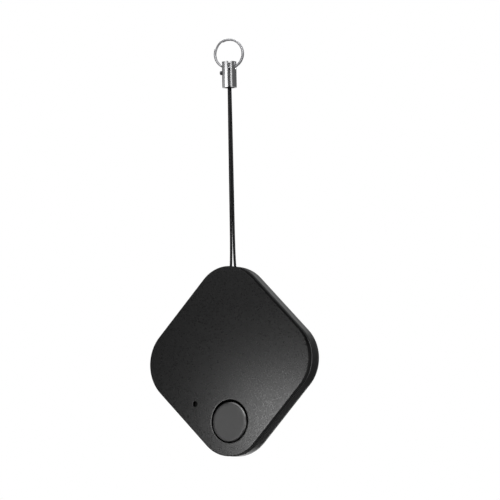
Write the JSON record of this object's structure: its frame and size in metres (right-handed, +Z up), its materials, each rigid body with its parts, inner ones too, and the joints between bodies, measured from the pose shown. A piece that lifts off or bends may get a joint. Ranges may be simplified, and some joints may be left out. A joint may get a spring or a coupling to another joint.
{
  "type": "bluetooth tracker tag",
  "caption": "Slim rounded-square tracker tag with a round push button, hung by one corner on a looped cord that ends in a slit crimp tube and a small split ring.",
  "frame": {"origin": "centre of the split ring that the tag hangs by", "axes": "+Z up along the hanging cord, -Y out of the front face with the button, +X to the right seen from the front"},
  "size_m": [0.0458, 0.0072, 0.1012],
  "materials": {
    "bright_metal": "bright nickel plate",
    "dark_metal": "blackened steel",
    "plug_nylon": "black nylon",
    "cord": "tight black braid",
    "steel": "plain steel",
    "front_plastic": "satin black with a fine texture",
    "rear_plastic": "satin black",
    "button_plastic": "satin black with a fine texture",
    "smoked_lens": "smoked clear plastic",
    "board": "green solder mask on glass fibre",
    "copper": "gold-flashed copper",
    "chip_black": "moulded epoxy",
    "led_white": "white ceramic with a clear dome",
    "plunger_white": "white nylon",
    "capacitor_tan": "fired ceramic",
    "contact_metal": "nickel plated spring steel",
    "cell_steel": "drawn stainless steel",
    "seal_black": "polypropylene seal",
    "cell_core": "packed cell contents"
  },
  "bodies": {
    "ring": {"split_ring": "bright_metal"},
    "lanyard": {"crimp_tube": "bright_metal", "cord_plug": "plug_nylon", "crimp_pin": "dark_metal", "lanyard_cord": "cord"},
    "case": {"rear_shell": "rear_plastic", "lanyard_bar": "steel", "circuit_board": "board", "antenna_trace": "copper", "bluetooth_chip": "chip_black", "crystal_can": "steel", "led_chip": "led_white", "switch_base": "chip_black", "switch_cover": "steel", "switch_dome": "steel", "buzzer": "chip_black", "chip_capacitors": "capacitor_tan", "chip_resistors": "chip_black", "battery_clip": "contact_metal", "battery_contact": "contact_metal", "coin_cell_can": "cell_steel", "coin_cell_cap": "cell_steel", "coin_cell_seal": "seal_black", "coin_cell_core": "cell_core"},
    "front_cover": {"front_shell": "front_plastic", "light_pipe": "smoked_lens"},
    "button": {"button_cap": "button_plastic"},
    "plunger": {"switch_plunger": "plunger_white"}
  },
  "joints": [
    {"name": "ring_swing", "type": "hinge", "parent": "ring", "child": "lanyard", "pos_m": [0, 0, -0.00312], "axis": [0.9511, 0.309, 0], "range_deg": [-120, 120]},
    {"name": "tag_swing", "type": "hinge", "parent": "lanyard", "child": "case", "pos_m": [0, 0, -0.05], "axis": [0, 1, 0], "range_deg": [-75, 75], "deforming": ["lanyard_cord"]},
    {"name": "cover_off", "type": "slide", "parent": "case", "child": "front_cover", "axis": [0, -1, 0], "range_m": [0, 0.012]},
    {"name": "button_press", "type": "slide", "parent": "front_cover", "child": "button", "axis": [0, 1, 0], "range_m": [0, 0.0003], "stiffness_N_per_m": 2000},
    {"name": "plunger_press", "type": "slide", "parent": "case", "child": "plunger", "axis": [0, 1, 0], "range_m": [0, 0.0003], "deforming": ["switch_dome"]}
  ],
  "couplings": [
    {"joint": "plunger_press", "follows": "button_press", "ratio": 1}
  ]
}
